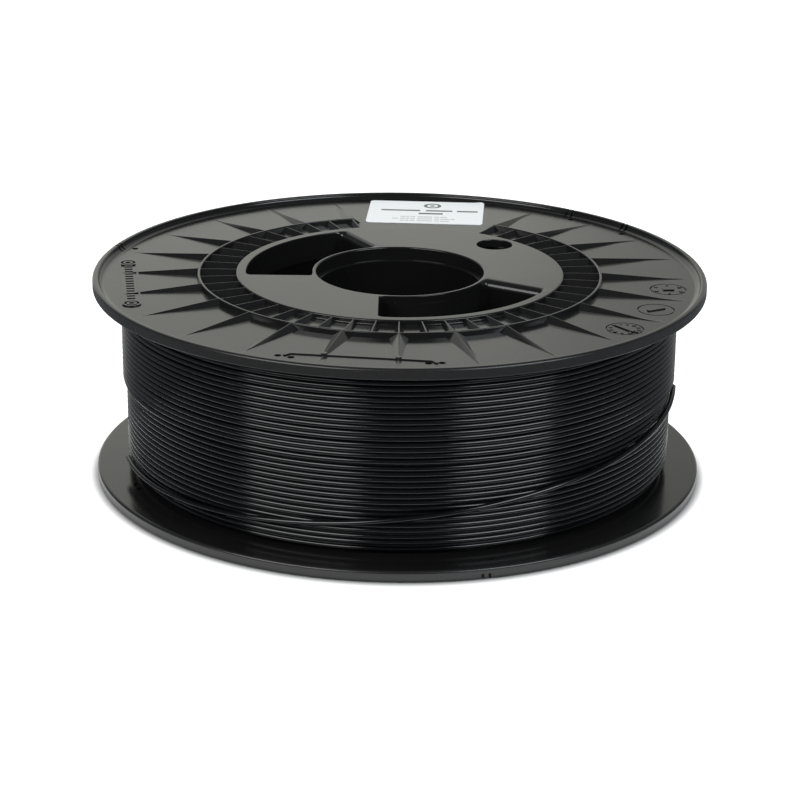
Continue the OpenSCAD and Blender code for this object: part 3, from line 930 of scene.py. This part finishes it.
def placed_flange(name, upper):
    """A copy of the moulding in place; the lower one is turned over about the drive hole's line."""
    scene = bpy.context.scene
    sizes = scene.spool_flange
    finish = moulded_plastic(name + "_plastic", sizes.plastic, sizes.sheen, 2.0 if upper else 31.0)
    blank = bpy.data.meshes.get("flange_moulding")
    if blank is None:
        base = flange_moulding(sizes, finish)
        blank = base.data
        blank.name = "flange_moulding"
        blank.use_fake_user = True
        bpy.data.objects.remove(base)
    mesh = blank.copy()
    if upper:
        mesh.transform(Matrix.Translation((0, 0, WIDTH)))
    else:
        mesh.transform(Matrix.Rotation(math.pi / 2, 4, "Z") @ Matrix.Rotation(math.pi, 4, "X"))
    piece = new_object(name, mesh)
    soften(piece)
    return piece, finish


# ---------------------------------------------------------------------------------------------
# Drum and bore tube


def drum_half(sizes, flange):
    """Upper half of the drum, outer face of its flange at z = 0: wall, lap ring and side walls."""
    bm = bmesh.new()
    wall_in = DRUM_R - sizes.drum_wall
    seat = -flange.back_depth_inner - 0.02 * MM
    turned_body(bm, [(wall_in, -MID_Z), (DRUM_R, -MID_Z), (DRUM_R, seat), (wall_in, seat)])
    step = -flange.collar_depth - 0.1 * MM
    deep = (TUBE_R + 0.1 * MM, wall_in + SLIVER, -MID_Z, step)
    shallow = (COLLAR_R + flange.collar_wall + 0.1 * MM, flange.window_radius - 0.1 * MM,
               step - SLIVER, -flange.plate - 0.02 * MM)
    for window in range(2):
        points, _ = window_outline(window, flange, 0)
        last_from = EDGE_POINTS + OUTER_POINTS
        runs = {"first": [points[i] for i in range(-CORNER_SPREAD, EDGE_POINTS + CORNER_SPREAD + 1)],
                "last": points[last_from - CORNER_SPREAD:last_from + EDGE_POINTS + CORNER_SPREAD + 1][::-1]}
        offsets = {"first": FIRST_EDGES[window], "last": LAST_EDGES[window]}
        for which, run in runs.items():
            far = offsets[which] + sizes.side_wall
            for inner, outer, low, high in (deep, shallow):
                outline = run + [edge_line(window, which, offsets[which] - CORNER_SPREAD * 0.3 * MM, outer),
                                 edge_line(window, which, far, outer), edge_line(window, which, far, inner),
                                 edge_line(window, which, offsets[which] - CORNER_SPREAD * 0.3 * MM, inner)]
                prism(bm, [(p.x, p.y) for p in outline], low, high)
    return bm


def placed_drum_half(name, upper):
    """A drum half in place: the lower one is turned over and has no lap ring."""
    scene = bpy.context.scene
    sizes, flange = scene.spool_drum, scene.spool_flange
    finish = moulded_plastic(name + "_plastic", sizes.plastic, sizes.sheen, 57.0 if upper else 83.0)
    bm = drum_half(sizes, flange)
    if upper:
        bmesh.ops.translate(bm, verts=bm.verts, vec=(0, 0, WIDTH))
        wall_in = DRUM_R - sizes.drum_wall
        middle = wall_in + sizes.drum_wall / 2
        turned_body(bm, [(wall_in - 0.02 * MM, MID_Z - sizes.lap), (middle, MID_Z - sizes.lap),
                         (middle, MID_Z + SLIVER), (wall_in - 0.02 * MM, MID_Z + SLIVER)])
    else:
        bmesh.ops.scale(bm, verts=bm.verts, vec=(1, 1, -1))
    piece = new_object(name, finished_mesh(bm, name))
    soften(piece)
    return piece, finish


# ---------------------------------------------------------------------------------------------
# Operators


class SPOOL_OT_upper_flange(bpy.types.Operator):
    """Builds the upper flange moulding"""

    bl_idname = "spool.upper_flange"
    bl_label = "Upper flange"

    def execute(self, context):
        piece, finish = placed_flange("upper_flange_moulding", True)
        stand_in_frame(piece, finish, ["upper_flange"])
        return {"FINISHED"}


class SPOOL_OT_lower_flange(bpy.types.Operator):
    """Builds the lower flange moulding"""

    bl_idname = "spool.lower_flange"
    bl_label = "Lower flange"

    def execute(self, context):
        piece, finish = placed_flange("lower_flange_moulding", False)
        stand_in_frame(piece, finish, ["lower_flange"])
        return {"FINISHED"}


class SPOOL_OT_drum(bpy.types.Operator):
    """Builds the two halves of the drum"""

    bl_idname = "spool.drum"
    bl_label = "Drum halves"

    def execute(self, context):
        for name, node in (("upper_drum_half", "upper_core"), ("lower_drum_half", "lower_core")):
            piece, finish = placed_drum_half(name, node == "upper_core")
            stand_in_frame(piece, finish, [node])
        return {"FINISHED"}


class SPOOL_OT_bore_tube(bpy.types.Operator):
    """Builds the tube through the middle of the spool"""

    bl_idname = "spool.bore_tube"
    bl_label = "Bore tube"

    def execute(self, context):
        sizes = context.scene.spool_drum
        chamfer = 0.25 * MM
        bm = bmesh.new()
        turned_body(bm, [(TUBE_BORE_R + chamfer, TUBE_LOW.z), (TUBE_R, TUBE_LOW.z), (TUBE_R, TUBE_HIGH.z),
                         (TUBE_BORE_R + chamfer, TUBE_HIGH.z), (TUBE_BORE_R, TUBE_HIGH.z - chamfer),
                         (TUBE_BORE_R, TUBE_LOW.z + chamfer)])
        piece = new_object("bore_sleeve", finished_mesh(bm, "bore_sleeve"))
        soften(piece)
        finish = moulded_plastic("bore_sleeve_plastic", sizes.plastic, sizes.sheen, 101.0)
        stand_in_frame(piece, finish, ["bore_tube"])
        return {"FINISHED"}


def wound_strand(name, finish, values):
    """A piece grown by the winding tree."""
    piece = new_object(name, bpy.data.meshes.new(name))
    defaults = {"Start angle": 0.0, "Level share": 0.001, "Sides": 12, "Seed": 1.0, "Finish": finish}
    return grown(piece, shared_tree("Winding", winding_tree), {**defaults, **values})


class SPOOL_OT_inner_turns(bpy.types.Operator):
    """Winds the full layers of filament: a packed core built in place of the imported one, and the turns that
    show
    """

    bl_idname = "spool.inner_turns"
    bl_label = "Full layers"

    def execute(self, context):
        sizes = context.scene.spool_strand
        finish = drawn_filament("filament_inner", sizes.filament, sizes.sheen, 3.0)
        radius = sizes.strand / 2
        reach = INNER_HIGH.x - radius
        turns = wound_strand("turns", finish, {
            "Turns": sizes.inner_turns, "Radius": reach - 0.03 * MM, "Strand": sizes.strand,
            "Bottom": sizes.last_layer + radius, "Top": INNER_HIGH.z - radius - 0.5 * MM,
            "Wander": sizes.wander, "Seed": 11.0, "Points": int(sizes.inner_turns * 120)})
        below = wound_strand("turns_below", finish, {
            "Turns": 1.6, "Radius": reach - sizes.strand, "Strand": sizes.strand,
            "Bottom": INNER_LOW.z + radius + 0.1 * MM, "Top": sizes.last_layer + 0.3 * MM,
            "Wander": 0.0, "Seed": 5.0, "Points": 200})
        bm = bmesh.new()
        start = DRUM_R + 0.1 * MM
        under = reach - 2 * sizes.strand
        turned_body(bm, [(start, INNER_LOW.z), (under, INNER_LOW.z), (under, sizes.last_layer + radius),
                         (reach, sizes.last_layer + radius), (reach, INNER_HIGH.z - 1.2 * MM),
                         (start, INNER_HIGH.z)])
        packed = new_object("packed", finished_mesh(bm, "packed"))
        for polygon in packed.data.polygons:
            polygon.use_smooth = False
        piece = joined("filament_full_layers", [turns, below, packed])
        stand_in_frame(piece, finish, ["wound_filament"])
        return {"FINISHED"}


class SPOOL_OT_outer_turns(bpy.types.Operator):
    """Winds the part layer on top of the full ones"""

    bl_idname = "spool.outer_turns"
    bl_label = "Part layer"

    def execute(self, context):
        sizes = context.scene.spool_strand
        finish = drawn_filament("filament_outer", sizes.filament, sizes.sheen, 17.0)
        radius = sizes.strand / 2
        piece = wound_strand("filament_part_layer", finish, {
            "Turns": sizes.outer_turns, "Radius": OUTER_HIGH.x - radius, "Strand": sizes.strand,
            "Bottom": OUTER_LOW.z + radius, "Top": OUTER_HIGH.z - radius * 0.6,
            "Start angle": math.radians(12), "Wander": sizes.wander, "Seed": 23.0,
            "Points": int(sizes.outer_turns * 120)})
        stand_in_frame(piece, finish, ["outer_layer"])
        return {"FINISHED"}


class SPOOL_OT_crossing(bpy.types.Operator):
    """Lays the strand that climbs from the lowest turns to the part layer"""

    bl_idname = "spool.crossing"
    bl_label = "Crossing strand"

    def execute(self, context):
        sizes = context.scene.spool_strand
        finish = drawn_filament("filament_crossing", sizes.filament, sizes.sheen, 29.0)
        radius = sizes.strand / 2
        start, end = math.radians(-166), math.radians(-6)
        piece = wound_strand("filament_crossing_strand", finish, {
            "Turns": (end - start) / math.tau, "Start angle": start,
            "Radius": INNER_HIGH.x + radius + 0.05 * MM, "Strand": sizes.strand,
            "Bottom": CROSSING_LOW.z + radius, "Top": CROSSING_HIGH.z - radius,
            "Level share": 0.45, "Wander": 0.0, "Points": 160, "Sides": 14})
        stand_in_frame(piece, finish, ["crossing_turn"])
        return {"FINISHED"}


def printed_label(name, sizes):
    """Coated white paper with plain printed marks: a ring, bold bars and fine lines."""

    def varying(graph):
        chart = graph.add("ShaderNodeUVMap", {"uv_map": "label"})
        axes = graph.tree.nodes.new("ShaderNodeSeparateXYZ")
        graph.tree.links.new(chart.socket, axes.inputs[0])
        across, up = Wire(graph, axes.outputs["X"]), Wire(graph, axes.outputs["Y"])

        def bar(left, right, low, high):
            return (across > left) * (across < right) * (up > low) * (up < high)

        aspect = sizes.width / sizes.height
        dx, dy = (across - 0.55) * aspect, up - 0.80
        away = (dx * dx + dy * dy).math("SQRT", dx * dx + dy * dy)
        ink = (away < 0.105) * (away > 0.066) + (away < 0.03)
        words = graph.noise(chart, 1.0, 0, 4.0, (34, 0.01, 1)) > 0.40
        for left, right, low, high in ((0.11, 0.45, 0.545, 0.605), (0.50, 0.73, 0.545, 0.605),
                                       (0.77, 0.95, 0.545, 0.605), (0.44, 0.65, 0.41, 0.475)):
            ink = ink + bar(left, right, low, high)
        fine = 0.0
        for left, right, low in ((0.29, 0.69, 0.27), (0.22, 0.76, 0.185), (0.28, 0.72, 0.10)):
            fine = bar(left, right, low, low + 0.035) * words + fine
        fibre = graph.noise(chart, 60, 3, 9.0)
        paper = graph.mix(fibre, rgba(sizes.paper, 0.97), rgba(sizes.paper, 1.02))
        tone = graph.mix(fine * 0.45, paper, rgba(sizes.ink))
        tone = graph.mix(ink * 0.9, tone, rgba(sizes.ink))
        shine = 0.42 + (fibre - 0.5) * 0.12
        bump = graph.add("ShaderNodeBump", {}, {"Strength": 0.3, "Distance": 0.00002, "Height": fibre})
        return {"Base Color": tone, "Roughness": shine, "Normal": bump}

    return surface(name, {"IOR": 1.45}, varying)


class SPOOL_OT_label(bpy.types.Operator):
    """Lays the paper label on the web and up the rim's fillet"""

    bl_idname = "spool.label"
    bl_label = "Label"

    def execute(self, context):
        sizes, flange = context.scene.spool_label, context.scene.spool_flange
        middle = polar(sizes.reach, sizes.bearing).xy
        columns, rows = 60, 44
        rim_in = FLANGE_R - flange.rim_width
        foot = rim_in - flange.rim_fillet
        foot_z = web_height(flange, foot)

        def height(radius, lift):
            """The web's surface, then the fillet's, raised by a lift."""
            if radius <= foot:
                return web_height(flange, max(radius, flange.ring_radius)) + lift
            reach = flange.rim_fillet - lift
            rise = (-foot_z - flange.edge) - lift
            share = min((radius - foot) / reach, 0.93)
            return -flange.edge - rise * math.sqrt(1 - share * share)

        def half_width(y):
            """Half of the label's width at a height, less at its rounded corners."""
            into = abs(y) - (sizes.height / 2 - sizes.corner)
            if into <= 0:
                return sizes.width / 2
            return sizes.width / 2 - sizes.corner + math.sqrt(max(0.0, sizes.corner ** 2 - into ** 2))

        turn = Matrix.Rotation(sizes.turn, 2)
        limit = foot + 0.92 * (flange.rim_fillet - sizes.thickness)
        bm = bmesh.new()
        chart = bm.loops.layers.uv.new("label")
        sheets, spots = [], {}
        for lift in (0.02 * MM, 0.02 * MM + sizes.thickness):
            grid = []
            for j in range(rows + 1):
                v = math.sin(math.pi * (j / rows - 0.5)) / 2
                y = v * sizes.height
                line = []
                for i in range(columns + 1):
                    u = i / columns - 0.5
                    flat = Vector((2 * u * half_width(y), y))
                    place = middle + turn @ flat
                    reach = place.length
                    if reach > limit:
                        place = place * (limit / reach)
                    vert = bm.verts.new((place.x, place.y, WIDTH + height(place.length, lift)))
                    spots[vert] = (flat.x / sizes.width + 0.5, flat.y / sizes.height + 0.5)
                    line.append(vert)
                grid.append(line)
            sheets.append(grid)
        for grid in sheets:
            skin(bm, grid, closed=False)
        rim = [grid[0] + [line[-1] for line in grid[1:]] + grid[-1][-2::-1]
               + [line[0] for line in grid[-2:0:-1]] for grid in sheets]
        skin(bm, rim)
        for face in bm.faces:
            for loop in face.loops:
                loop[chart].uv = spots[loop.vert]
        piece = new_object("paper_label", finished_mesh(bm, "paper_label"))
        soften(piece)
        stand_in_frame(piece, printed_label("label_print", sizes), ["product_label"])
        return {"FINISHED"}


def area_light(name, spot, aim, size, radiance, tint=(1, 1, 1)):
    """A rectangular light of a given radiance that faces a point."""
    data = bpy.data.lights.new(name, "AREA")
    data.shape = "RECTANGLE"
    data.size, data.size_y = size
    data.energy = radiance * math.pi * size[0] * size[1]
    data.color = tint
    light = bpy.data.objects.new(name, data)
    light.location = spot
    light.rotation_euler = (Vector(aim) - Vector(spot)).to_track_quat("-Z", "Y").to_euler()
    bpy.context.scene.collection.objects.link(light)
    return light


FLOOR_REACH = 6.0
FLOOR_Z, NEAR_FLOOR_Z = -0.0002, -0.00015
NEAR_FLOOR_EDGE = 12 * MM
# Each softbox: name, degrees to the side of the front, width and tint
SOFTBOXES = (("left_softbox", 41, 1.09, (1, 1, 1)), ("right_softbox", -45, 0.9, (0.93, 0.97, 1.0)))
SOFTBOX_AWAY, SOFTBOX_Z, SOFTBOX_TALL = 1.25, 0.78, 0.7
# Where the room changes, by direction: sideways spread, upward and sideways parts
BACKDROP_SPREAD, BACKDROP_TOP, BACKDROP_FOOT = (0.5, 0.8), (0.6, 0.85), (-0.22, -0.08)
BACKDROP_DIM_UP, DIM_UP = (0.28, 0.42), 0.2
BACKDROP_DIM_SIDE, DIM_SIDE = (0.03, 0.1), 0.35


class SPOOL_OT_studio(bpy.types.Operator):
    """Sets the floor, the lights and the camera"""

    bl_idname = "spool.studio"
    bl_label = "Studio"

    def execute(self, context):
        scene = context.scene
        sizes = scene.spool_studio
        scene.view_settings.view_transform = "Standard"
        self.make_floor(sizes)
        self.make_room(scene, sizes)
        middle = (0, 0, MID_Z)
        for name, degrees, wide, tint in SOFTBOXES:
            spot = polar(SOFTBOX_AWAY, math.radians(-90 - degrees), SOFTBOX_Z)
            area_light(name, spot, middle, (wide, SOFTBOX_TALL), sizes.softboxes, tint)
        top_light = area_light("top_light", (0, 0.25, 1.5), (0, 0, 0), (1.3, 1.0), sizes.top_light)
        top_light.visible_glossy = False
        self.make_camera(scene, sizes)
        return {"FINISHED"}

    def flat_piece(self, name, outline, z):
        bm = bmesh.new()
        bm.faces.new(add_loop(bm, [(x, y, z) for x, y in outline]))
        return new_object(name, finished_mesh(bm, name))

    def make_floor(self, sizes):
        """A white floor whose glow is dimmed round the lower flange as a painted contact shadow, and a disc
        of it near the spool that shows in the lower edge.
        """
        floor = self.flat_piece("studio_floor", box_outline((0, 0), (2 * FLOOR_REACH,) * 2, 0), FLOOR_Z)

        def varying(graph):
            place = graph.add("ShaderNodeTexCoord", output="Object")
            grain = graph.noise(place, 8, 2)
            away = graph.add("ShaderNodeVectorMath", {"operation": "LENGTH"}, {0: place}, output=1)
            # Painted contact shadow: the floor's glow fades from near black at the lower flange to full glow
            # outside it.
            glow_outside_painted_shadow = graph.ramp(away, FLANGE_R - sizes.contact * 0.2, FLANGE_R + sizes.contact)
            return {"Base Color": graph.mix(grain, rgba(sizes.floor, 0.985), rgba(sizes.floor, 1.0)),
                    "Emission Color": graph.mix(glow_outside_painted_shadow, (0.02, 0.02, 0.02, 1), (1, 1, 1, 1))}

        glow = {"Roughness": 0.9, "Emission Strength": sizes.floor_glow}
        floor.data.materials.append(surface("floor_sheet", glow, varying))
        floor.visible_glossy = False
        outline = circle_points((0, 0), FLANGE_R + NEAR_FLOOR_EDGE, 96)
        near = self.flat_piece("near_floor", outline, NEAR_FLOOR_Z)
        near.data.materials.append(floor.data.materials[0])

    def make_room(self, scene, sizes):
        """A dark room with a backdrop that is dimmer at its sides; the camera itself sees plain white."""
        world = bpy.data.worlds.new("studio_room")
        world.use_nodes = True
        scene.world = world
        graph = Graph(world.node_tree)
        direction = graph.add("ShaderNodeTexCoord", output="Generated")
        axes = graph.tree.nodes.new("ShaderNodeSeparateXYZ")
        graph.tree.links.new(direction.socket, axes.inputs[0])
        back, up = Wire(graph, axes.outputs["Y"]), Wire(graph, axes.outputs["Z"])
        side = Wire(graph, axes.outputs["X"])
        spread = side.math("ABSOLUTE", side) / back.math("MAXIMUM", back, 0.001)
        lit = (1 - graph.ramp(spread, *BACKDROP_SPREAD)) * (1 - graph.ramp(up, *BACKDROP_TOP))
        lit = lit * graph.ramp(up, *BACKDROP_FOOT)
        beside = graph.ramp(back, -0.35, 0.3) * (1 - graph.ramp(up, 0.35, 0.6)) * (1 - lit)
        backdrop = sizes.backdrop * (1 - graph.ramp(up, *BACKDROP_DIM_UP) * DIM_UP)
        backdrop = backdrop * (1 - graph.ramp(side, *BACKDROP_DIM_SIDE) * DIM_SIDE)
        front = graph.ramp(-1 * up, -0.02, 0.05) * graph.ramp(-1 * back, -0.5, 0.3)
        seen = graph.add("ShaderNodeLightPath", output="Is Camera Ray")
        level = sizes.dark_side * (1 - lit) + lit * backdrop + beside * sizes.side + front * sizes.below
        room = graph.mix(lit, (0.9, 0.97, 1.0, 1), rgba(sizes.backdrop_tint))
        room = graph.mix(seen, room, (1, 1, 1, 1))
        level = level * (1 - seen) + seen
        shell = graph.add("ShaderNodeBackground", {}, {"Color": room, "Strength": level})
        graph.add("ShaderNodeOutputWorld", {}, {"Surface": shell})

    def make_camera(self, scene, sizes):
        data = bpy.data.cameras.new("camera")
        data.sensor_width = 36
        data.lens = sizes.lens
        data.clip_start, data.clip_end = 0.01, 30
        camera = bpy.data.objects.new("camera", data)
        scene.collection.objects.link(camera)
        rise = sizes.elevation
        back = Vector((0, -math.cos(rise), math.sin(rise)))
        right, up = Vector((1, 0, 0)), Vector((0, math.sin(rise), math.cos(rise)))
        side = right * math.cos(sizes.roll) + up * math.sin(sizes.roll)
        top = up * math.cos(sizes.roll) - right * math.sin(sizes.roll)
        spot = Vector((sizes.aim_x, 0, sizes.aim_z)) + back * sizes.distance
        camera.matrix_world = Matrix.Translation(spot) @ Matrix((side, top, back)).transposed().to_4x4()
        scene.camera = camera


class SPOOL_PT_panel(bpy.types.Panel):
    """Lists the pieces of the spool"""

    bl_label = "Filament spool"
    bl_idname = "SPOOL_PT_panel"
    bl_space_type = "VIEW_3D"
    bl_region_type = "UI"
    bl_category = "Spool"

    def draw(self, context):
        for operator in OPERATORS:
            self.layout.operator(operator.bl_idname)


SETTINGS = {
    "spool_flange": SpoolFlangeSettings,
    "spool_drum": SpoolDrumSettings,
    "spool_strand": SpoolStrandSettings,
    "spool_label": SpoolLabelSettings,
    "spool_studio": SpoolStudioSettings,
}
OPERATORS = (
    SPOOL_OT_studio,
    SPOOL_OT_upper_flange,
    SPOOL_OT_lower_flange,
    SPOOL_OT_drum,
    SPOOL_OT_bore_tube,
    SPOOL_OT_inner_turns,
    SPOOL_OT_outer_turns,
    SPOOL_OT_crossing,
    SPOOL_OT_label,
)


def register():
    for cls in (*SETTINGS.values(), *OPERATORS, SPOOL_PT_panel):
        bpy.utils.register_class(cls)
    for name, cls in SETTINGS.items():
        setattr(bpy.types.Scene, name, bpy.props.PointerProperty(type=cls))


def unregister():
    for name in SETTINGS:
        delattr(bpy.types.Scene, name)
    for cls in reversed((*SETTINGS.values(), *OPERATORS, SPOOL_PT_panel)):
        bpy.utils.unregister_class(cls)


def main():
    register()
    for operator in OPERATORS:
        group, name = operator.bl_idname.split(".")
        getattr(getattr(bpy.ops, group), name)()


if __name__ == "__main__":
    main()
